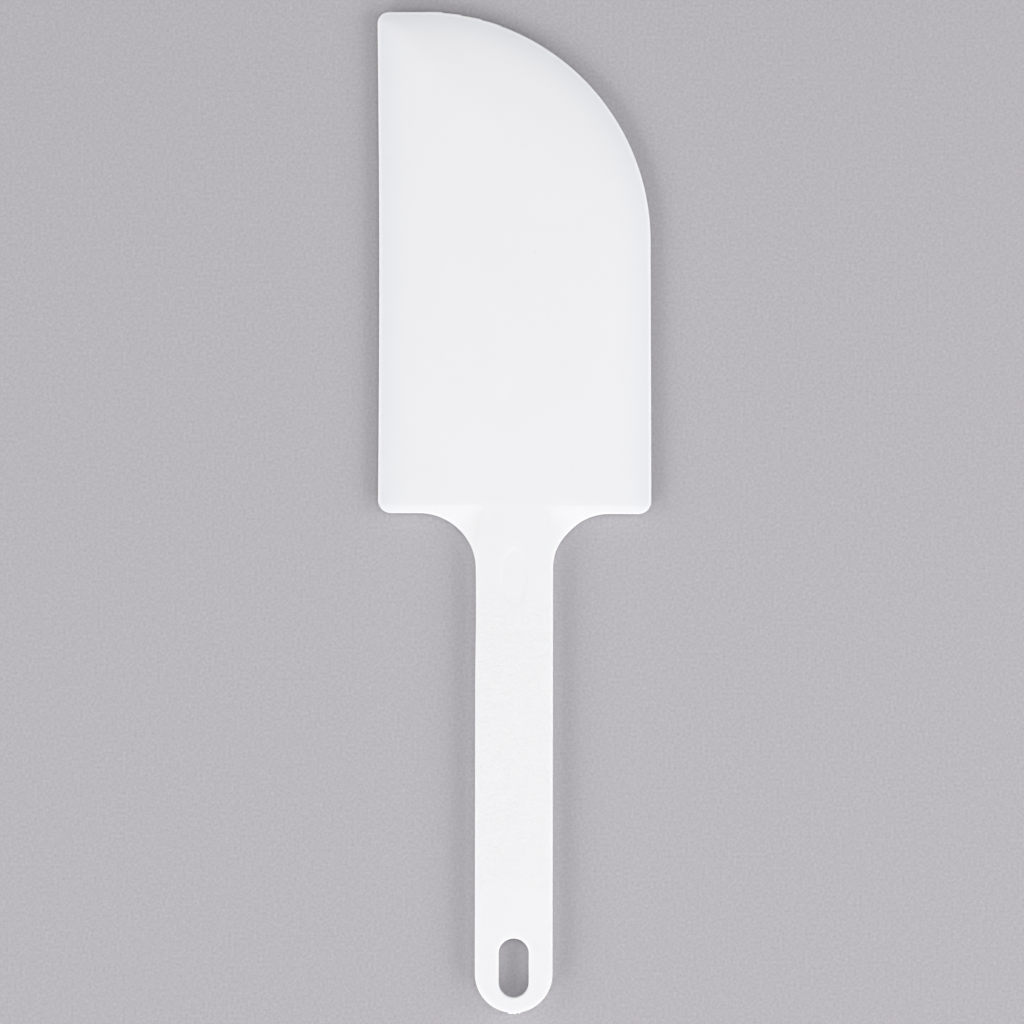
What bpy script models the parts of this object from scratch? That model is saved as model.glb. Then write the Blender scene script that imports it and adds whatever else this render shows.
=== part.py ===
"""Dough and bowl scraper: a stiff flat handle whose tang is moulded into a flexible blade.

Metres, +Z up. X runs across the blade, with its straight edge at -X and its round corner at +X.
Y runs along the scraper, with the blade's tip at +Y and the handle's end at -Y. The scraper lies
flat on the plane Z = 0, centred on the origin, and is the same above and below its middle plane.
"""
import math

import bmesh
import bpy

# Driving dimensions
LENGTH = 0.350  # tip to handle end
BLADE_WIDTH = 0.095
BLADE_LENGTH = LENGTH / 2  # from the shoulder line, Y = 0, to the tip
THICKNESS = 0.0060  # of the handle and of the blade's middle
GAP = 0.0003  # between the handle and the blade that is moulded on it

# Blade
TIP_FLAT = 0.0150  # straight length of the tip, up to the round corner
ROUND_CORNER = BLADE_WIDTH - TIP_FLAT
TIP_CORNER = 0.0040
HEEL_CORNER = 0.0045
EDGE_THICKNESS = 0.0014
BEVEL_WIDTH = 0.0080  # thin border along the free edges
BEVEL_RISE = 0.0004  # on each face
CROWN_RISE = (THICKNESS - EDGE_THICKNESS) / 2 - BEVEL_RISE

# Handle
HANDLE_WIDTH = 0.0272
WEB_RADIUS = 0.0194  # between the handle and the shoulders
BAR_DEPTH = 0.0027  # of the cross-bar that carries the blade
LEVEL_WIDTH_AT_BAR = 0.0206  # the handle's level face, where it meets the blade
LEVEL_FULL_WIDTH_Y = -0.0140  # the level face is as wide as the handle from here down
SHOULDER_SLOPE = math.tan(math.radians(7))  # of the shoulders and webs, down from the bar
INNER_SLOPE_RATIO = 1.35  # how much steeper they fall beside the level face
SLOT_WIDTH = 0.0105
SLOT_LENGTH = 0.0206
SLOT_TO_END = 0.0054

# Tang, hidden in the blade
TANG_WIDTH = 0.0560
TANG_ROOT_Y = 0.0012  # inside the cross-bar
TANG_END_Y = 0.0600
TANG_THICKNESS = 0.0020
TANG_CORNER = 0.0060
WINDOWS = 3
WINDOW_WIDTH = 0.0100
WINDOW_LENGTH = 0.0300
WINDOW_CORNER = 0.0030
WINDOW_PITCH = 0.0170
WINDOW_MIDDLE_Y = 0.0340

EDGE_CHAMFER = 0.0003
GRID = 0.0050  # spacing of the lines along which the tapered faces bend
SHORTEST_EDGE = 2 * EDGE_CHAMFER
ARC_STEP = 6  # degrees
MIDDLE = THICKNESS / 2
HALF_WIDTH = BLADE_WIDTH / 2
HALF_HANDLE = HANDLE_WIDTH / 2
CROWN_WIDTH = HALF_WIDTH - HALF_HANDLE  # the blade is level where the handle's faces run on
ROUND_X, ROUND_Y = TIP_FLAT - HALF_WIDTH, BLADE_LENGTH - ROUND_CORNER
TIP_X, TIP_Y = TIP_CORNER - HALF_WIDTH, BLADE_LENGTH - TIP_CORNER
HEEL_X = HALF_WIDTH - HEEL_CORNER
WEB_X = HALF_HANDLE + WEB_RADIUS


def arc(x, y, radius, start, end):
    """Points of an arc about (x, y), between two angles in degrees."""
    steps = max(3, round(abs(end - start) / ARC_STEP))
    angles = [math.radians(start + (end - start) * i / steps) for i in range(steps + 1)]
    return [(x + radius * math.cos(a), y + radius * math.sin(a)) for a in angles]


def rounded_rectangle(x, y, width, length, radius):
    """Outline of a rectangle centred on (x, y), with round corners."""
    across, along = width / 2 - radius, length / 2 - radius
    if across < SHORTEST_EDGE:
        return arc(x, y + along, radius, 0, 180) + arc(x, y - along, radius, 180, 360)
    return (
        arc(x + across, y - along, radius, -90, 0)
        + arc(x + across, y + along, radius, 0, 90)
        + arc(x - across, y + along, radius, 90, 180)
        + arc(x - across, y - along, radius, 180, 270)
    )


def heel_angle(y):
    """Where the round heel corner passes the height y, in degrees from +X."""
    return math.degrees(math.asin((y - HEEL_CORNER) / HEEL_CORNER))


def blade_outline():
    """The blade above its seam, anticlockwise from the seam's right end."""
    seam = heel_angle(BAR_DEPTH + GAP)
    return (
        arc(HEEL_X, HEEL_CORNER, HEEL_CORNER, seam, 0)
        + arc(ROUND_X, ROUND_Y, ROUND_CORNER, 0, 90)
        + arc(TIP_X, TIP_Y, TIP_CORNER, 90, 180)
        + arc(-HEEL_X, HEEL_CORNER, HEEL_CORNER, 180, 180 - seam)
    )


def handle_outline():
    """The handle with its cross-bar, anticlockwise from the bar's left end."""
    seam = heel_angle(BAR_DEPTH)
    return (
        arc(-HEEL_X, HEEL_CORNER, HEEL_CORNER, 180 - seam, 270)
        + arc(-WEB_X, -WEB_RADIUS, WEB_RADIUS, 90, 0)
        + arc(0, HALF_HANDLE - BLADE_LENGTH, HALF_HANDLE, 180, 360)
        + arc(WEB_X, -WEB_RADIUS, WEB_RADIUS, 180, 90)
        + arc(HEEL_X, HEEL_CORNER, HEEL_CORNER, -90, seam)
    )


def free_edge_distance(x, y):
    """How far a point of the blade is from its straight, tip or round edge."""
    if x > ROUND_X and y > ROUND_Y:
        far = ROUND_CORNER - math.hypot(x - ROUND_X, y - ROUND_Y)
    else:
        far = min(HALF_WIDTH - x, BLADE_LENGTH - y)
    if x < TIP_X and y > TIP_Y:
        near = TIP_CORNER - math.hypot(x - TIP_X, y - TIP_Y)
    else:
        near = HALF_WIDTH + x
    return max(0.0, min(near, far))


def rise(distance, width, height):
    """Height of a rounded slope, which levels out at its full width."""
    short = max(0.0, 1 - distance / width)
    return height * (1 - short * short)


def blade_half_thickness(x, y):
    """Half the blade's thickness: thin at its free edges and crowned in the middle."""
    distance = free_edge_distance(x, y)
    bevel = rise(distance, BEVEL_WIDTH, BEVEL_RISE)
    return EDGE_THICKNESS / 2 + bevel + rise(distance, CROWN_WIDTH, CROWN_RISE)


def handle_half_thickness(x, y):
    """Half the handle's thickness: its shoulders and webs slope off to their edges."""
    below_bar = max(0.0, BAR_DEPTH - y)
    narrowing = HALF_HANDLE - LEVEL_WIDTH_AT_BAR / 2
    run = BAR_DEPTH - LEVEL_FULL_WIDTH_Y
    beside = abs(x) - LEVEL_WIDTH_AT_BAR / 2 - below_bar * narrowing / run
    beside = max(0.0, beside * run / math.hypot(run, narrowing))
    if below_bar == 0 or beside == 0:
        return blade_half_thickness(x, max(y, BAR_DEPTH))
    beside *= INNER_SLOPE_RATIO
    drop = SHOULDER_SLOPE * below_bar * beside / math.hypot(below_bar, beside)
    return blade_half_thickness(x, BAR_DEPTH) - drop


def is_at(vert, y):
    return abs(vert.co.y - y) < GAP / 10


def plate(name, outline, half_thickness, seam_y):
    """A plate of varying thickness. Its rim is chamfered, except along the seam."""
    shape = bmesh.new()
    shape.faces.new([shape.verts.new((x, y, 0)) for x, y in outline])
    for axis, reach in ((0, HALF_WIDTH), (1, BLADE_LENGTH)):
        normal = (1 - axis, axis, 0)
        for line in range(-int(reach / GRID), int(reach / GRID) + 1):
            everything = shape.verts[:] + shape.edges[:] + shape.faces[:]
            bmesh.ops.bisect_plane(
                shape,
                geom=everything,
                dist=SHORTEST_EDGE,
                plane_co=[line * GRID * part for part in normal],
                plane_no=normal,
            )
    bmesh.ops.triangulate(shape, faces=shape.faces[:])
    made = bmesh.ops.extrude_face_region(shape, geom=shape.faces[:])["geom"]
    upper = {item for item in made if isinstance(item, bmesh.types.BMVert)}
    for vert in shape.verts:
        half = half_thickness(vert.co.x, vert.co.y)
        vert.co.z = MIDDLE + half if vert in upper else MIDDLE - half
    bmesh.ops.recalc_face_normals(shape, faces=shape.faces[:])
    weight = shape.edges.layers.float.new("bevel_weight_edge")
    for edge in shape.edges:
        on_seam = all(is_at(vert, seam_y) for vert in edge.verts)
        if edge.calc_face_angle() > math.radians(45) and not on_seam:
            edge[weight] = 1.0
    mesh = bpy.data.meshes.new(name)
    shape.to_mesh(mesh)
    shape.free()
    obj = bpy.data.objects.new(name, mesh)
    bevel = obj.modifiers.new("edge_chamfer", "BEVEL")
    bevel.limit_method = "WEIGHT"
    bevel.width = EDGE_CHAMFER
    bevel.segments = 1
    return obj


def extrusion(name, loops, thickness):
    """A flat outline with holes, extruded evenly about the middle plane."""
    curve = bpy.data.curves.new(name, "CURVE")
    curve.dimensions = "2D"
    curve.fill_mode = "BOTH"
    curve.extrude = thickness / 2
    for loop in loops:
        spline = curve.splines.new("POLY")
        spline.points.add(len(loop) - 1)
        for point, (x, y) in zip(spline.points, loop):
            point.co = (x, y, 0, 1)
        spline.use_cyclic_u = True
    source = bpy.data.objects.new(name + "_curve", curve)
    bpy.context.scene.collection.objects.link(source)
    evaluated = source.evaluated_get(bpy.context.evaluated_depsgraph_get())
    mesh = bpy.data.meshes.new_from_object(evaluated)
    bpy.data.objects.remove(source)
    shape = bmesh.new()
    shape.from_mesh(mesh)
    bmesh.ops.remove_doubles(shape, verts=shape.verts[:], dist=1e-6)
    bmesh.ops.recalc_face_normals(shape, faces=shape.faces[:])
    bmesh.ops.translate(shape, verts=shape.verts[:], vec=(0, 0, MIDDLE))
    shape.to_mesh(mesh)
    shape.free()
    return bpy.data.objects.new(name, mesh)


def tang(name, margin):
    """The tang, or with a margin the space that the blade leaves round it."""
    length = TANG_END_Y - TANG_ROOT_Y + 2 * margin
    middle_y = (TANG_END_Y + TANG_ROOT_Y) / 2
    loops = [rounded_rectangle(0, middle_y, TANG_WIDTH + 2 * margin, length, TANG_CORNER)]
    for window in range(WINDOWS):
        x = (window - (WINDOWS - 1) / 2) * WINDOW_PITCH
        width, length = WINDOW_WIDTH - 2 * margin, WINDOW_LENGTH - 2 * margin
        loops.append(rounded_rectangle(x, WINDOW_MIDDLE_Y, width, length, WINDOW_CORNER))
    return extrusion(name, loops, TANG_THICKNESS + 2 * margin)


def hang_slot():
    """The round-ended slot through the handle's end."""
    y = -BLADE_LENGTH + SLOT_TO_END + SLOT_LENGTH / 2
    outline = rounded_rectangle(0, y, SLOT_WIDTH, SLOT_LENGTH, SLOT_WIDTH / 2)
    return extrusion("hang_slot", [outline], 2 * THICKNESS)


def combine(obj, operation, tool):
    """Join a tool to an object or cut it out, and keep the tool as a wire guide."""
    boolean = obj.modifiers.new(tool.name, "BOOLEAN")
    boolean.operation = operation
    boolean.solver = "EXACT"
    boolean.object = tool
    tool.display_type = "WIRE"
    tool.hide_render = True


def plastic(name, color, roughness):
    """A plain moulded plastic."""
    material = bpy.data.materials.new(name)
    material.use_nodes = True
    shader = material.node_tree.nodes["Principled BSDF"]
    shader.inputs["Base Color"].default_value = (*color, 1)
    shader.inputs["Roughness"].default_value = roughness
    shader.inputs["Metallic"].default_value = 0
    return material


def new_collection(name, objects):
    collection = bpy.data.collections.new(name)
    bpy.context.scene.collection.children.link(collection)
    for obj in objects:
        collection.objects.link(obj)


def main():
    for obj in list(bpy.data.objects):
        bpy.data.objects.remove(obj)
    handle = plate("handle", handle_outline(), handle_half_thickness, BAR_DEPTH)
    handle.data.materials.append(plastic("stiff_white_plastic", (0.87, 0.87, 0.88), 0.5))
    blade = plate("blade", blade_outline(), blade_half_thickness, BAR_DEPTH + GAP)
    blade.data.materials.append(plastic("flexible_white_plastic", (0.85, 0.86, 0.88), 0.4))
    tongue, pocket, slot = tang("tang", 0.0), tang("tang_pocket", GAP), hang_slot()
    combine(handle, "UNION", tongue)
    combine(handle, "DIFFERENCE", slot)
    combine(blade, "DIFFERENCE", pocket)
    new_collection("bench_scraper", [handle, blade])
    new_collection("cutters", [tongue, pocket, slot])


main()
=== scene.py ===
"""Dough and bowl scraper in white plastic: the fine surfaces, materials, light and camera.

Two moulded pieces are modelled here, each in the place of its CAD node. Both are plates of varying
thickness that are the same above and below a middle plane: an outline in X and Y is filled with
triangles, and a formula gives half the thickness at every point.
"""
import math

import bpy
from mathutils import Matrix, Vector
from mathutils.geometry import delaunay_2d_cdt


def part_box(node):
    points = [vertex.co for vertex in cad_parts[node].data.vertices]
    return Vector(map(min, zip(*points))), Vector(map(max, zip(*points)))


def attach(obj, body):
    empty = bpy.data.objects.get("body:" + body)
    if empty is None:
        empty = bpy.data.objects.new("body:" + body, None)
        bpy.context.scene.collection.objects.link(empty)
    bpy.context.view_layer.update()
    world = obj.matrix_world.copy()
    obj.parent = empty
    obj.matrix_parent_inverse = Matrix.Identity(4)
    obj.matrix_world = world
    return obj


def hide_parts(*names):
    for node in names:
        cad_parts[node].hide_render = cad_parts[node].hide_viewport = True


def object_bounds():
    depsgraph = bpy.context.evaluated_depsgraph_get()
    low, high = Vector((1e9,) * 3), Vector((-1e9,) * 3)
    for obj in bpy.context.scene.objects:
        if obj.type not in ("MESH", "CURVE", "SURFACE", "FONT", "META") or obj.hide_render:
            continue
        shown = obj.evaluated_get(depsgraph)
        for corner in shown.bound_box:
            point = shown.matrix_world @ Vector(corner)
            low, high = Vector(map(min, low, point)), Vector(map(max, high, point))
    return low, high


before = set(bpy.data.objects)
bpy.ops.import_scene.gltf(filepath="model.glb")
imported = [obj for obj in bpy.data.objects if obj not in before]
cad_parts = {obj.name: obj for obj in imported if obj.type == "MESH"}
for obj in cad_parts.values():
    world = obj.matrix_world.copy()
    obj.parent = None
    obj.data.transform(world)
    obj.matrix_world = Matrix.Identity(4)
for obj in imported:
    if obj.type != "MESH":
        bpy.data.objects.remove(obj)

CAD_LOW, CAD_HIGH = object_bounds()
MM = 0.001

# Sizes from the frame
HALF_WIDTH = CAD_HIGH.x
TIP_Y = CAD_HIGH.y
END_Y = CAD_LOW.y
THICKNESS = CAD_HIGH.z - CAD_LOW.z
MIDDLE = (CAD_HIGH.z + CAD_LOW.z) / 2
SEAM_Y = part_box("blade")[0].y - 0.15 * MM  # halfway across the gap between the CAD nodes

# Blade
ROUND_CORNER = 80 * MM
TIP_CORNER = 4 * MM
HEEL_CORNER = 4.5 * MM
EDGE_HALF = 0.7 * MM
LIP_WIDTH = 0.75 * MM  # level border at the very edge
BEVEL_WIDTH = 8 * MM
BEVEL_RISE = 0.4 * MM

# How the moulding has warped in cooling. Spreads are outwards, at the blade's free edges
LEFT_HEEL_SPREAD, RIGHT_HEEL_SPREAD = 0.2 * MM, 0.4 * MM
TIP_SPREAD = 0.6 * MM
HOLLOW = 0.55 * MM  # the long straight edge, halfway
SPREAD_FADE = 10 * MM  # below the shoulder line
SHOULDER_SAG = 0.45 * MM
SHOULDER_SLANT = 0.15 * MM  # how much more it sags at the right end
SAG_REACH = 25 * MM
NECK_DRAW = 0.25 * MM  # the handle's left side is drawn in below the shoulder
NECK_Y, NECK_REACH = -33 * MM, 30 * MM
WEB_SAG = 0.5 * MM  # the right-hand web hangs a little lower at its middle
WEB_SAG_X, WEB_SAG_Y, WEB_SAG_REACH = 18.5 * MM, -7 * MM, 10 * MM

# Trimmed gate along the tip's edge, and gate stub on the handle's end
GATE_START, GATE_END = -32 * MM, -4.5 * MM
GATE_CUTS = 4
GATE_PROUD = 0.35 * MM
STUB_X = 0.2 * MM
STUB_HALF_WIDTH = 2.4 * MM
STUB_PROUD = 0.4 * MM
STUB_FLANK = 0.4 * MM
STUB_RAGGED = 0.15  # share of its height
STUB_RIPPLE = 0.25 * MM
NOTCH_X = 1.4 * MM
NOTCH_HALF_WIDTH = 0.45 * MM
NOTCH_DEPTH = 0.9  # share of the stub's height
TRIM_REACH = 1.6 * MM  # how far into the plastic the mesh is moved for them

# Handle
HALF_HANDLE = 13.6 * MM
WEB_RADIUS = 19.4 * MM
LEVEL_HALF_AT_BAR = 10.3 * MM
LEVEL_FULL_WIDTH_Y = -14 * MM
SHOULDER_SLOPE = math.tan(math.radians(7))
INNER_SLOPE_RATIO = 1.35  # how much steeper the shoulders fall beside the level face
SLOT_HALF_WIDTH = 5.25 * MM
SLOT_LENGTH = 20.6 * MM
SLOT_TO_END = 5.4 * MM

RIM_WIDTH = 2 * MM  # softened border along the handle's edges
RIM_DROP = 0.1 * MM
MARK_Y = -22.6 * MM  # plain oval recess, where such a tool often has lettering
MARK_HALF_WIDTH = 5 * MM
MARK_HALF_LENGTH = 11 * MM
MARK_DEPTH = 0.15 * MM
MARK_SLOPE = 0.9 * MM
GRAIN_START_Y, GRAIN_END_Y = -24 * MM, -136 * MM
GRAIN_START_FADE, GRAIN_END_FADE = 12 * MM, 8 * MM
PARTING_PROUD = 0.03 * MM  # the raised line where the mould's halves met

# Mesh
BLADE_ROUND = 0.35 * MM
HANDLE_ROUND = 0.5 * MM
RIM_STEP = 1.2 * MM
FINE_STEP = 0.3 * MM
FILL_STEP = 2.4 * MM
CREASE_HALF = 0.4 * MM
CREASE_STEPS = 16
ROUND_STEPS = 5
BLADE_LOOPS = (0.55, 0.75, 1.0, 1.4, 1.9, 2.5)  # mm inside the edge
HANDLE_LOOPS = (0.7, 0.95, 1.3, 1.8)
MARK_LOOPS = (0, 0.25, 0.5, 0.75, 1)  # shares of the slope into the oval
GATE_ANGLE = 69  # degrees round the corner, where the mesh gets finer for the gate
STUB_ANGLES = 256, 286  # degrees round the handle's end, between which it is finest
SAME_PLACE = 1e-5  # points closer than this are one
SHARP_ANGLE = math.radians(50)

# Plastic
LIGHT_DEPTH = 0.6 * MM  # how far light spreads inside it
SEAM_FADE = 3 * MM
SOLID_HALF = 2.4 * MM  # half the thickness at which it looks solid, where the painted shade of thin plastic ends
LIP_HIGHLIGHT_WIDTH, RIM_HIGHLIGHT_WIDTH = 1.5 * MM, 2.2 * MM  # how wide the painted highlight is along the blade's and handle's edges
LIP_HIGHLIGHT, RIM_HIGHLIGHT, FACET_HIGHLIGHT = 0.8, 0.35, 0.35  # how much the painted highlight lightens them
FACET_HIGHLIGHT_DROP = 0.35 * MM  # drop from which the shoulder facets get the painted highlight in full
BLADE_COLOR = (0.872, 0.871, 0.885)
HANDLE_COLOR = (0.878, 0.877, 0.890)
THIN_SHADE_TINT = (0.952, 0.96, 0.983)  # painted shade: how much of its colour thin plastic keeps, darker and cooler as if light passed through it
HIGHLIGHT_LIFT = 1.055  # how much lighter the painted highlight makes the edges than the body
CLOUD_LIFT = 0.003  # how far the body is cloudy, either way
SPECK_COLOR = (0.74, 0.73, 0.71)
GLOSS = 0.35  # on the shader's scale, where 0.5 is common plastic
BLADE_SEED, HANDLE_SEED = 1, 21

# Paper
PAPER_DARK, PAPER_LIGHT = (0.406, 0.396, 0.416), (0.543, 0.531, 0.554)
PAPER_BLOTCH = (0.475, 0.445, 0.480)
FLOOR_HALF = 2.4
FLOOR_GAP = 0.02 * MM

# Light
SIDE_ELEVATION = 25
SIDE_DISTANCE, SIDE_SIZE = 2.4, 1.2
SIDE_LIGHTS = (  # name, azimuth in degrees and power in watts
    ("left", -90, 15.8),
    ("front_left", -45, 20.7),
    ("front_right", 45, 20.7),
    ("right", 90, 17.2),
)
TOP_AZIMUTH, TOP_ELEVATION, TOP_POWER = 117, 83.6, 2.35
TOP_DISTANCE, TOP_SIZE = 1.0, 0.6
WORLD_STRENGTH = 0.3

# Camera
LENS, SENSOR = 300, 36
SEEN_LENGTH = (TIP_Y - END_Y) * 1.0235  # the scraper and a little beyond both its ends
CAMERA_X, CAMERA_Y = -0.8 * MM, 0.1 * MM
CAMERA_ROLL = math.radians(0.08)

# Worked out from the values above
CROWN_WIDTH = HALF_WIDTH - HALF_HANDLE
CROWN_RISE = THICKNESS / 2 - EDGE_HALF - BEVEL_RISE
ROUND_X, ROUND_Y = HALF_WIDTH - ROUND_CORNER, TIP_Y - ROUND_CORNER
TIP_CORNER_X, TIP_CORNER_Y = TIP_CORNER - HALF_WIDTH, TIP_Y - TIP_CORNER
HEEL_X = HALF_WIDTH - HEEL_CORNER
WEB_X = HALF_HANDLE + WEB_RADIUS
END_CENTRE_Y = END_Y + HALF_HANDLE
SLOT_LOW_Y = END_Y + SLOT_TO_END + SLOT_HALF_WIDTH
SLOT_HIGH_Y = END_Y + SLOT_TO_END + SLOT_LENGTH - SLOT_HALF_WIDTH


# ---------------------------------------------------------------- outlines

def arc(x, y, radius, start, end, step=RIM_STEP):
    """Points of an arc about (x, y), between two angles in degrees."""
    turn = math.radians(end - start)
    steps = max(6, math.ceil(abs(turn) * radius / step))
    angles = [math.radians(start) + turn * i / steps for i in range(steps + 1)]
    return [(x + radius * math.cos(a), y + radius * math.sin(a)) for a in angles]


def between(start, end):
    """Evenly spaced points on the straight line from start to end, without those two."""
    (ax, ay), (bx, by) = start, end
    steps = max(1, round(math.hypot(bx - ax, by - ay) / RIM_STEP))
    return [(ax + (bx - ax) * i / steps, ay + (by - ay) * i / steps) for i in range(1, steps)]


def chain(*runs, closed=False):
    """Joins runs of points, with points added along each straight gap between them."""
    points = list(runs[0])
    for run, after in zip(runs, runs[1:]):
        points += between(run[-1], after[0]) + after
    if closed:
        points += between(runs[-1][-1], runs[0][0])
    return [p for i, p in enumerate(points) if math.dist(p, points[i - 1]) > SAME_PLACE]


def heel_angle(inset):
    """Where the heel corner, drawn in by an inset, passes the seam, in degrees."""
    return math.degrees(math.asin((SEAM_Y - HEEL_CORNER) / (HEEL_CORNER - inset)))


def blade_rim(inset):
    """The blade's free edge, drawn in by an inset, from the seam's right end to its left."""
    heel, seam = HEEL_CORNER - inset, heel_angle(inset)
    return chain(
        arc(HEEL_X, HEEL_CORNER, heel, seam, 0),
        arc(ROUND_X, ROUND_Y, ROUND_CORNER - inset, 0, GATE_ANGLE),
        arc(ROUND_X, ROUND_Y, ROUND_CORNER - inset, GATE_ANGLE, 90, 2 * FINE_STEP),
        arc(TIP_CORNER_X, TIP_CORNER_Y, TIP_CORNER - inset, 90, 180),
        arc(-HEEL_X, HEEL_CORNER, heel, 180, 180 - seam),
    )


def handle_rim(inset):
    """The handle's free edge, drawn in by an inset, from the seam's left end to its right."""
    heel, web, seam = HEEL_CORNER - inset, WEB_RADIUS + inset, heel_angle(inset)
    end, (stub_start, stub_end) = HALF_HANDLE - inset, STUB_ANGLES
    return chain(
        arc(-HEEL_X, HEEL_CORNER, heel, 180 - seam, 270),
        arc(-WEB_X, -WEB_RADIUS, web, 90, 0),
        arc(0, END_CENTRE_Y, end, 180, stub_start),
        arc(0, END_CENTRE_Y, end, stub_start, stub_end, FINE_STEP),
        arc(0, END_CENTRE_Y, end, stub_end, 360),
        arc(WEB_X, -WEB_RADIUS, web, 180, 90),
        arc(HEEL_X, HEEL_CORNER, heel, -90, seam),
    )


def slot_rim(inset):
    """The hang slot's edge, moved into the plastic by an inset, clockwise."""
    radius = SLOT_HALF_WIDTH + inset
    return chain(
        arc(0, SLOT_HIGH_Y, radius, 180, 0),
        arc(0, SLOT_LOW_Y, radius, 0, -180),
        closed=True,
    )


def mark_rim(inset):
    """The plain oval's edge, drawn in by an inset."""
    share = 1 - inset / MARK_HALF_WIDTH
    wide, long = MARK_HALF_WIDTH * share, MARK_HALF_LENGTH * share
    steps = math.ceil(math.pi * (wide + long) / RIM_STEP)
    turns = [2 * math.pi * i / steps for i in range(steps)]
    return [(wide * math.cos(t), MARK_Y + long * math.sin(t)) for t in turns]


# ---------------------------------------------------------------- distances and thickness

def heel_distance(x, y):
    """How far a point is inside the round heel corner, or None outside its square."""
    if abs(x) > HEEL_X and y < HEEL_CORNER:
        return HEEL_CORNER - math.hypot(abs(x) - HEEL_X, y - HEEL_CORNER)
    return None


def blade_distance(x, y):
    """How far a point of the blade is inside its free edge."""
    heel = heel_distance(x, y)
    if heel is not None:
        return heel
    if x > ROUND_X and y > ROUND_Y:
        far = ROUND_CORNER - math.hypot(x - ROUND_X, y - ROUND_Y)
    else:
        far = min(HALF_WIDTH - x, TIP_Y - y)
    if x < TIP_CORNER_X and y > TIP_CORNER_Y:
        near = TIP_CORNER - math.hypot(x - TIP_CORNER_X, y - TIP_CORNER_Y)
    else:
        near = HALF_WIDTH + x
    return min(near, far)


def shoulder_distance(x, y):
    """How far a point of the cross-bar or web is inside the shoulder's edge."""
    if abs(x) < WEB_X:
        return math.hypot(abs(x) - WEB_X, y + WEB_RADIUS) - WEB_RADIUS
    return y


def slot_distance(x, y):
    """How far a point is outside the hang slot."""
    return math.hypot(x, y - min(max(y, SLOT_LOW_Y), SLOT_HIGH_Y)) - SLOT_HALF_WIDTH


def handle_distance(x, y):
    """How far a point of the handle is inside its free edge or from its slot."""
    heel = heel_distance(x, y)
    if heel is not None:
        return heel
    if y < END_CENTRE_Y:
        side = HALF_HANDLE - math.hypot(x, y - END_CENTRE_Y)
    elif y < -WEB_RADIUS:
        side = HALF_HANDLE - abs(x)
    else:
        side = min(shoulder_distance(x, y), HALF_WIDTH - abs(x))
    return min(side, slot_distance(x, y))


def mark_distance(x, y):
    """About how far a point is inside the plain oval."""
    reach = math.hypot(x / MARK_HALF_WIDTH, (y - MARK_Y) / MARK_HALF_LENGTH)
    return (1 - reach) * MARK_HALF_WIDTH


def smooth(share):
    """0 to 1 with level ends."""
    share = min(max(share, 0.0), 1.0)
    return share * share * (3 - 2 * share)


def rise(distance, width, height):
    """Height of a rounded slope, which levels out at its full width."""
    short = 1 - min(max(distance / width, 0.0), 1.0)
    return height * (1 - short * short)


def round_off(distance, radius):
    """How far a rounded edge has dropped at a distance from it."""
    if distance >= radius:
        return 0.0
    across = radius - max(distance, 0.0)
    return radius - math.sqrt(max(radius * radius - across * across, 0.0))


def crowned(edge):
    """Half thickness of the blade's body at a distance from its free edge."""
    bevel = rise(edge - LIP_WIDTH, BEVEL_WIDTH - LIP_WIDTH, BEVEL_RISE)
    return EDGE_HALF + bevel + rise(edge, CROWN_WIDTH, CROWN_RISE)


def blade_half(x, y):
    distance = blade_distance(x, y)
    body = crowned(HALF_WIDTH - abs(x)) if y < HEEL_CORNER else crowned(distance)
    return body - round_off(distance, BLADE_ROUND)


def shoulder_drop(x, y):
    """How far the handle's face has sloped off, outside its level middle."""
    below = max(0.0, SEAM_Y - y)
    narrowing = HALF_HANDLE - LEVEL_HALF_AT_BAR
    run = SEAM_Y - LEVEL_FULL_WIDTH_Y
    beside = abs(x) - LEVEL_HALF_AT_BAR - below * narrowing / run
    beside = max(0.0, beside * run / math.hypot(run, narrowing))
    if below == 0 or beside == 0:
        return 0.0
    beside *= INNER_SLOPE_RATIO
    return SHOULDER_SLOPE * below * beside / math.hypot(below, beside)


def handle_half(x, y):
    body = crowned(HALF_WIDTH - abs(x)) if y > -WEB_RADIUS else THICKNESS / 2
    distance = handle_distance(x, y)
    radius = BLADE_ROUND if abs(x) > WEB_X else HANDLE_ROUND
    rim = (RIM_DROP - rise(distance, RIM_WIDTH, RIM_DROP)) * smooth(-y / WEB_RADIUS)
    mark = MARK_DEPTH * smooth(mark_distance(x, y) / MARK_SLOPE)
    return body - shoulder_drop(x, y) - round_off(distance, radius) - rim - mark


# ---------------------------------------------------------------- warp and trimmed gates

def spread(x, y):
    """How far the blade's free edge on this side stands outside the drawn one."""
    along = min(max(y / TIP_Y, 0.0), 1.0)
    if x > 0:
        return RIGHT_HEEL_SPREAD * (1 - smooth(1.5 * along))
    chord = LEFT_HEEL_SPREAD + (TIP_SPREAD - LEFT_HEEL_SPREAD) * along
    return chord - HOLLOW * math.sin(math.pi * along)


def gate(x):
    """How far the trimmed gate stands proud: it swells along each cut and drops at its end."""
    along = (x - GATE_START) / (GATE_END - GATE_START)
    if not 0 < along < 1:
        return 0.0
    return GATE_PROUD * (along * GATE_CUTS % 1) * (1 - 0.5 * along)


def stub(x):
    """How far the handle's gate stub stands proud, with a torn notch in it."""
    beside = STUB_HALF_WIDTH - abs(x - STUB_X)
    torn = STUB_PROUD * max(0.0, 1 - abs(x - NOTCH_X) / NOTCH_HALF_WIDTH)
    ragged = STUB_RAGGED * STUB_PROUD * math.sin(x / STUB_RIPPLE)
    proud = STUB_PROUD * smooth(beside / STUB_FLANK) + ragged * (beside > 0)
    return max(0.0, proud - NOTCH_DEPTH * torn)


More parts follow.
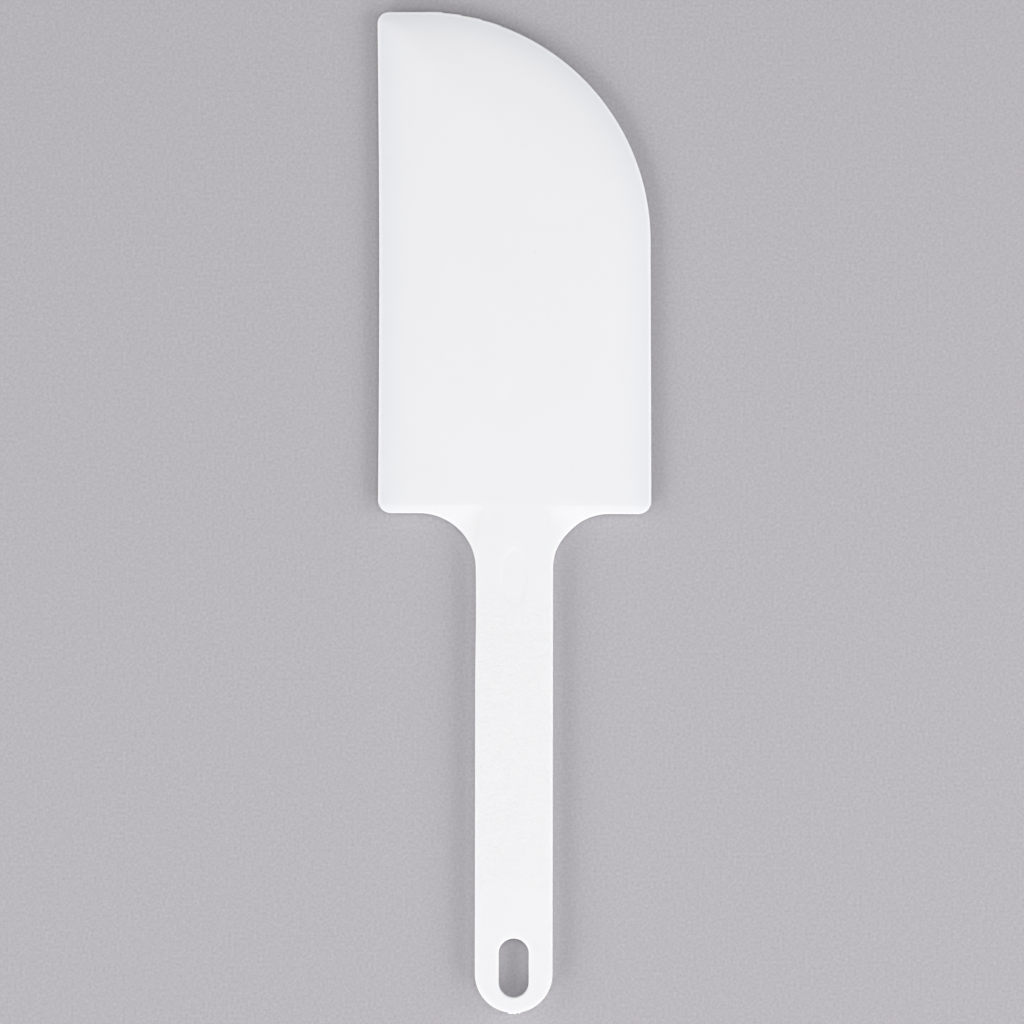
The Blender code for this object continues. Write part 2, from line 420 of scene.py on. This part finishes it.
def warped(x, y):
    """Where a point of the drawn shape lies on the real moulding."""
    near_bar = smooth(1 + y / SPREAD_FADE)
    to_end = HALF_HANDLE - math.hypot(x, y - END_CENTRE_Y)
    trim = 1 - smooth((blade_distance(x, y) if y > 0 else to_end) / TRIM_REACH)
    neck = NECK_DRAW * smooth(1 - abs(y - NECK_Y) / NECK_REACH)
    moved_x = x + spread(x, y) * near_bar * x / HALF_WIDTH + neck * min(max(-x / HALF_HANDLE, 0), 1)
    sag = (SHOULDER_SAG + SHOULDER_SLANT * x / HALF_WIDTH) * smooth(1 - abs(y) / SAG_REACH)
    sag += WEB_SAG * smooth(1 - math.hypot(x - WEB_SAG_X, y - WEB_SAG_Y) / WEB_SAG_REACH)
    moved_y = y - sag + (gate(x) * trim if y > ROUND_Y else 0)
    return moved_x, moved_y - (stub(x) * trim if y < END_CENTRE_Y else 0)


def warp(obj):
    for vertex in obj.data.vertices:
        vertex.co.x, vertex.co.y = warped(vertex.co.x, vertex.co.y)


# ---------------------------------------------------------------- meshes

def ring_insets(radius, deeper):
    """Insets of the loops that follow an edge: close on its rounding, then wider."""
    turns = [math.radians(90 * i / ROUND_STEPS) for i in range(ROUND_STEPS + 1)]
    return [radius * (1 - math.cos(t)) for t in turns] + [d * MM for d in deeper]


def fill_points(low, high, distance, margin):
    """Points of an even lattice that are at least a margin from the edge."""
    points, row, y = [], 0, low[1]
    while y < high[1]:
        x = low[0] + (FILL_STEP / 2 if row % 2 else 0)
        while x < high[0]:
            if distance(x, y) > margin:
                points.append((x, y))
            x += FILL_STEP
        row, y = row + 1, y + FILL_STEP * math.sqrt(0.75)
    return points


def crease_points():
    """Points along both inner creases of the shoulders, and close beside them."""
    points = []
    length = SEAM_Y - LEVEL_FULL_WIDTH_Y
    for side in (-1, 1):
        for offset in (-CREASE_HALF, 0, CREASE_HALF):
            for share in (i / CREASE_STEPS for i in range(1, CREASE_STEPS + 1)):
                x = LEVEL_HALF_AT_BAR + (HALF_HANDLE - LEVEL_HALF_AT_BAR) * share + offset
                points.append((side * x, SEAM_Y - length * share))
    return points


def seam_points(rings, direction):
    """Points along the seam between the ends of the outermost loop, towards +X or -X."""
    half = abs(rings[0][0][0])
    inner = [abs(ring[0][0]) for ring in rings[1:]]
    steps = math.ceil(2 * min(inner) / FILL_STEP)
    even = [min(inner) * (2 * i / steps - 1) for i in range(1, steps)]
    xs = sorted(x for x in [*inner, *[-x for x in inner], *even] if abs(x) < half)
    return [(x, SEAM_Y) for x in (xs if direction > 0 else reversed(xs))]


def triangulate(outline, holes, loops, fill):
    """Triangles that fill an outline, with loops of edges kept and points put in."""
    points, edges = [], []
    for run, closed in [(outline, True), *[(h, True) for h in holes], *[(r, False) for r in loops]]:
        start = len(points)
        points += [Vector(p) for p in run]
        last = len(points) if closed else len(points) - 1
        edges += [(i, i + 1 if i + 1 < len(points) else start) for i in range(start, last)]
    points += [Vector(p) for p in fill]
    made = delaunay_2d_cdt(points, edges, [], 0, SAME_PLACE / 10)
    return made[0], made[2]


def inside(triangle, points, distance):
    x = sum(points[i].x for i in triangle) / 3
    y = sum(points[i].y for i in triangle) / 3
    return distance(x, y) > 0


def build_plate(name, points, triangles, half, wall_rows):
    """A closed mesh: an upper and a lower sheet, joined by a wall round their edges."""
    count = len(points)
    verts = [(p.x, p.y, MIDDLE + half(p.x, p.y)) for p in points]
    verts += [(x, y, 2 * MIDDLE - z) for x, y, z in verts]
    faces = [tuple(t) for t in triangles] + [tuple(i + count for i in reversed(t)) for t in triangles]
    directed = {(t[i], t[(i + 1) % 3]) for t in triangles for i in range(3)}
    border = {a: b for a, b in directed if (b, a) not in directed}
    before = {b: a for a, b in border.items()}
    columns = {}
    for a in border:
        along = points[border[a]] - points[before[a]]
        outward = Vector((along.y, -along.x)).normalized()
        wall = verts[a][2] - MIDDLE
        columns[a] = [a]
        for share, bulge in wall_rows(points[a]):
            columns[a].append(len(verts))
            place = points[a] + outward * bulge
            verts.append((place.x, place.y, MIDDLE + wall * share))
        columns[a].append(a + count)
    for a, b in border.items():
        left, right = columns[a], columns[b]
        for i in range(len(left) - 1):
            faces.append((left[i], left[i + 1], right[i + 1], right[i]))
    mesh = bpy.data.meshes.new(name)
    mesh.from_pydata(verts, [], faces)
    mesh.validate()
    mesh.shade_smooth()
    mesh.set_sharp_from_angle(angle=SHARP_ANGLE)
    obj = bpy.data.objects.new(name, mesh)
    bpy.context.scene.collection.objects.link(obj)
    return obj


def parting_rows(point):
    """Rows of the wall beside the parting line: share of its half height, and how proud."""
    on_seam = abs(point.y - SEAM_Y) < SAME_PLACE
    bulge = 0.0 if on_seam else PARTING_PROUD
    return [(0.35, 0.0), (0.12, 0.2 * bulge), (0.0, bulge), (-0.12, 0.2 * bulge), (-0.35, 0.0)]


def make_blade():
    insets = ring_insets(BLADE_ROUND, BLADE_LOOPS)
    rings = [blade_rim(inset) for inset in insets]
    outline = rings[0] + seam_points(rings, 1)
    low = (-HALF_WIDTH, SEAM_Y + FILL_STEP * 0.7)
    fill = fill_points(low, (HALF_WIDTH, TIP_Y), blade_distance, insets[-1] + FILL_STEP * 0.5)
    points, triangles = triangulate(outline, [], rings[1:], fill)
    triangles = [t for t in triangles if inside(t, points, blade_distance)]
    return build_plate("blade_moulding", points, triangles, blade_half, parting_rows)


def make_handle():
    insets = ring_insets(HANDLE_ROUND, HANDLE_LOOPS)
    rings = [handle_rim(inset) for inset in insets]
    slots = [slot_rim(inset) for inset in insets]
    marks = [mark_rim(MARK_SLOPE * share) for share in MARK_LOOPS]
    outline = rings[0] + seam_points(rings, -1)
    high = (HALF_WIDTH, SEAM_Y - FILL_STEP * 0.4)
    fill = fill_points((-HALF_WIDTH, END_Y), high, handle_distance, insets[-1] + FILL_STEP * 0.3)
    fill = [p for p in fill if not -FILL_STEP / 2 < mark_distance(*p) < MARK_SLOPE + FILL_STEP / 2]
    creases = [p for p in crease_points() if handle_distance(*p) > insets[-1] + CREASE_HALF]
    fill = [p for p in fill if min(math.dist(p, c) for c in creases) > FILL_STEP / 2] + creases
    closed = [loop + loop[:1] for loop in slots[1:] + marks]
    points, triangles = triangulate(outline, [slots[0]], rings[1:] + closed, fill)
    triangles = [t for t in triangles if inside(t, points, handle_distance)]
    return build_plate("handle_moulding", points, triangles, handle_half, parting_rows)


# ---------------------------------------------------------------- materials

def new_material(name):
    material = bpy.data.materials.new(name)
    material.use_nodes = True
    return material, material.node_tree, material.node_tree.nodes["Principled BSDF"]


def near_seam(x, y):
    """1 beside the seam, falling to 0 a little way from it."""
    return max(0.0, 1 - abs(y - SEAM_Y) / SEAM_FADE) ** 2


def thinness(half):
    """1 where the plastic is as thin as at its edge, 0 where it is thick enough to look solid."""
    return smooth((SOLID_HALF - half) / (SOLID_HALF - EDGE_HALF))


def blade_values(x, y):
    distance = blade_distance(x, y)
    # Painted highlight along the blade's free edge, strongest close to it
    glow = LIP_HIGHLIGHT * (1 - smooth(distance / LIP_HIGHLIGHT_WIDTH))
    return {"thinness": thinness(blade_half(x, y)), "glow": glow, "near_seam": near_seam(x, y)}


def handle_values(x, y):
    # Painted highlight along the handle's edges and on its sloping shoulder facets
    glow = RIM_HIGHLIGHT * (1 - smooth(handle_distance(x, y) / RIM_HIGHLIGHT_WIDTH))
    facet_highlight = FACET_HIGHLIGHT * smooth(shoulder_drop(x, y) / FACET_HIGHLIGHT_DROP)
    grain = smooth((GRAIN_START_Y - y) / GRAIN_START_FADE) * smooth((y - GRAIN_END_Y) / GRAIN_END_FADE)
    return {
        "thinness": thinness(handle_half(x, y)) * (abs(x) > WEB_X),
        "glow": max(glow, facet_highlight),
        "near_seam": near_seam(x, y),
        "grain": grain * (mark_distance(x, y) < 0),
    }


def add_point_values(obj, values):
    """Stores numbers at every point, worked out from its place in X and Y."""
    at_points = [values(v.co.x, v.co.y) for v in obj.data.vertices]
    for name in at_points[0]:
        layer = obj.data.attributes.new(name, "FLOAT", "POINT")
        layer.data.foreach_set("value", [float(value[name]) for value in at_points])


def read_value(tree, name):
    node = tree.nodes.new("ShaderNodeAttribute")
    node.attribute_name = name
    return node.outputs["Fac"]


def blend_colors(tree, share, first, second):
    """Colour that goes from the first to the second as the share goes from 0 to 1."""
    node = tree.nodes.new("ShaderNodeMix")
    node.data_type = "RGBA"
    tree.links.new(share, node.inputs["Factor"])
    for socket, color in (("A", first), ("B", second)):
        if isinstance(color, tuple):
            node.inputs[socket].default_value = (*color, 1)
        else:
            tree.links.new(color, node.inputs[socket])
    return node.outputs["Result"]


def noise_texture(tree, feature, detail, seed):
    """Noise whose lumps are about one feature wide, in the object's own metres."""
    place = tree.nodes.new("ShaderNodeTexCoord")
    node = tree.nodes.new("ShaderNodeTexNoise")
    node.noise_dimensions = "4D"
    node.inputs["W"].default_value = seed
    node.inputs["Scale"].default_value = 1 / feature
    node.inputs["Detail"].default_value = detail
    tree.links.new(place.outputs["Object"], node.inputs["Vector"])
    return node


def map_range(tree, value, low, high, new_low, new_high):
    node = tree.nodes.new("ShaderNodeMapRange")
    tree.links.new(value, node.inputs["Value"])
    for name, number in (("From Min", low), ("From Max", high), ("To Min", new_low), ("To Max", new_high)):
        node.inputs[name].default_value = number
    return node.outputs["Result"]


def add_bump(tree, height, depth, strength, under=None):
    """Bump of the given depth in metres, on top of another bump if there is one."""
    node = tree.nodes.new("ShaderNodeBump")
    node.inputs["Distance"].default_value = depth
    tree.links.new(height, node.inputs["Height"])
    if isinstance(strength, float):
        node.inputs["Strength"].default_value = strength
    else:
        tree.links.new(strength, node.inputs["Strength"])
    if under is not None:
        tree.links.new(under, node.inputs["Normal"])
    return node.outputs["Normal"]


def plastic(name, color, seed, grained):
    """White plastic that light enters a little, with painted shade that makes it darker and cooler where
    it is thin and a painted highlight that makes it lighter at its edges and shoulder facets.

    Light doesn't cross from one piece into the other, so its way in fades out beside the seam,
    where the real pieces are bonded and no dark line shows between them.
    """
    material, tree, shader = new_material(name)
    thin_shade_color = tuple(c * k for c, k in zip(color, THIN_SHADE_TINT))
    highlight_color = tuple(min(1.0, c * HIGHLIGHT_LIFT) for c in color)
    clouds = noise_texture(tree, 18 * MM, 2.0, seed)
    cloudy = blend_colors(tree, map_range(tree, clouds.outputs["Fac"], 0.3, 0.7, 0, 1),
                          tuple(c * (1 - CLOUD_LIFT) for c in color),
                          tuple(c * (1 + CLOUD_LIFT) for c in color))
    # Painted shade: darker and cooler where the plastic is thin
    with_painted_light = blend_colors(tree, read_value(tree, "thinness"), cloudy, thin_shade_color)
    # Painted highlight: lighter along the edges and on the shoulder facets
    with_painted_light = blend_colors(tree, read_value(tree, "glow"), with_painted_light, highlight_color)
    specks = noise_texture(tree, 1.1 * MM, 0.0, seed + 1)
    speck = map_range(tree, specks.outputs["Fac"], 0.87, 0.91, 0, 0.6)
    tree.links.new(blend_colors(tree, speck, with_painted_light, SPECK_COLOR), shader.inputs["Base Color"])

    scuffs = noise_texture(tree, 6 * MM, 4.0, seed + 2)
    rough = map_range(tree, scuffs.outputs["Fac"], 0.3, 0.7, 0.53, 0.63)
    tree.links.new(rough, shader.inputs["Roughness"])
    ripples = noise_texture(tree, 9 * MM, 1.0, seed + 3)
    normal = add_bump(tree, ripples.outputs["Fac"], 0.06 * MM, 1.0)
    skin = noise_texture(tree, 0.8 * MM, 2.0, seed + 4)
    normal = add_bump(tree, skin.outputs["Fac"], 0.004 * MM, 1.0, normal)
    if grained:
        grain = noise_texture(tree, 0.8 * MM, 2.0, seed + 5)
        normal = add_bump(tree, grain.outputs["Fac"], 0.22 * MM, read_value(tree, "grain"), normal)
    tree.links.new(normal, shader.inputs["Normal"])

    shader.inputs["Specular IOR Level"].default_value = GLOSS
    entry = map_range(tree, read_value(tree, "near_seam"), 0, 1, 1, 0)
    tree.links.new(entry, shader.inputs["Subsurface Weight"])
    shader.inputs["Subsurface Radius"].default_value = (1.0, 1.0, 1.0)
    shader.inputs["Subsurface Scale"].default_value = LIGHT_DEPTH
    return material


def paper(name):
    """Grey backing paper: fine flecks and faint coloured blotches."""
    material, tree, shader = new_material(name)
    flecks = noise_texture(tree, 1.0 * MM, 3.0, 11)
    blotches = noise_texture(tree, 5.0 * MM, 3.0, 12)
    base = blend_colors(tree, map_range(tree, flecks.outputs["Fac"], 0.25, 0.75, 0, 1),
                        PAPER_DARK, PAPER_LIGHT)
    share = map_range(tree, blotches.outputs["Fac"], 0.35, 0.75, 0, 0.35)
    tree.links.new(blend_colors(tree, share, base, PAPER_BLOTCH), shader.inputs["Base Color"])
    tree.links.new(add_bump(tree, flecks.outputs["Fac"], 0.03 * MM, 1.0), shader.inputs["Normal"])
    shader.inputs["Roughness"].default_value = 0.9
    return material


# ---------------------------------------------------------------- stage

def add_floor():
    mesh = bpy.data.meshes.new("floor")
    corners = [(-1, -1), (1, -1), (1, 1), (-1, 1)]
    mesh.from_pydata([(FLOOR_HALF * x, FLOOR_HALF * y, 0) for x, y in corners], [], [(0, 1, 2, 3)])
    floor = bpy.data.objects.new("floor", mesh)
    bpy.context.scene.collection.objects.link(floor)
    floor.location.z = CAD_LOW.z - FLOOR_GAP
    mesh.materials.append(paper("grey_paper"))


def add_light(name, azimuth, elevation, power, distance, size):
    """A soft square light aimed at the scraper. Azimuth is from -Y towards +X."""
    light = bpy.data.lights.new(name, "AREA")
    light.size = size
    light.energy = power
    lamp = bpy.data.objects.new(name, light)
    a, e = math.radians(azimuth), math.radians(elevation)
    back = Vector((math.sin(a) * math.cos(e), -math.cos(a) * math.cos(e), math.sin(e)))
    lamp.location = back * distance
    lamp.rotation_euler = (-back).to_track_quat("-Z", "Y").to_euler()
    lamp.visible_camera = False
    bpy.context.scene.collection.objects.link(lamp)


def add_world():
    world = bpy.data.worlds.new("soft_studio")
    bpy.context.scene.world = world
    world.use_nodes = True
    background = world.node_tree.nodes["Background"]
    background.inputs["Color"].default_value = (1, 1, 1, 1)
    background.inputs["Strength"].default_value = WORLD_STRENGTH


def add_camera():
    """Straight above the scraper, its tip at the top of the frame."""
    camera = bpy.data.cameras.new("camera")
    camera.lens = LENS
    camera.sensor_width = SENSOR
    view = bpy.data.objects.new("camera", camera)
    view.location = (CAMERA_X, CAMERA_Y, MIDDLE + SEEN_LENGTH * LENS / SENSOR)
    view.rotation_euler = (0, 0, CAMERA_ROLL)
    bpy.context.scene.collection.objects.link(view)
    bpy.context.scene.camera = view


def main():
    blade, handle = make_blade(), make_handle()
    add_point_values(blade, blade_values)
    add_point_values(handle, handle_values)
    blade.data.materials.append(plastic("flexible_white_plastic", BLADE_COLOR, BLADE_SEED, False))
    handle.data.materials.append(plastic("stiff_white_plastic", HANDLE_COLOR, HANDLE_SEED, True))
    for piece in (blade, handle):
        warp(piece)
    for piece, node, slot in ((blade, "blade", "blade_plastic"), (handle, "handle", "handle_plastic")):
        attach(piece, "root")
        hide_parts(node)
    add_floor()
    add_world()
    for name, azimuth, power in SIDE_LIGHTS:
        add_light(name, azimuth, SIDE_ELEVATION, power, SIDE_DISTANCE, SIDE_SIZE)
    add_light("top", TOP_AZIMUTH, TOP_ELEVATION, TOP_POWER, TOP_DISTANCE, TOP_SIZE)
    add_camera()
    bpy.context.scene.view_settings.view_transform = "Standard"


main()
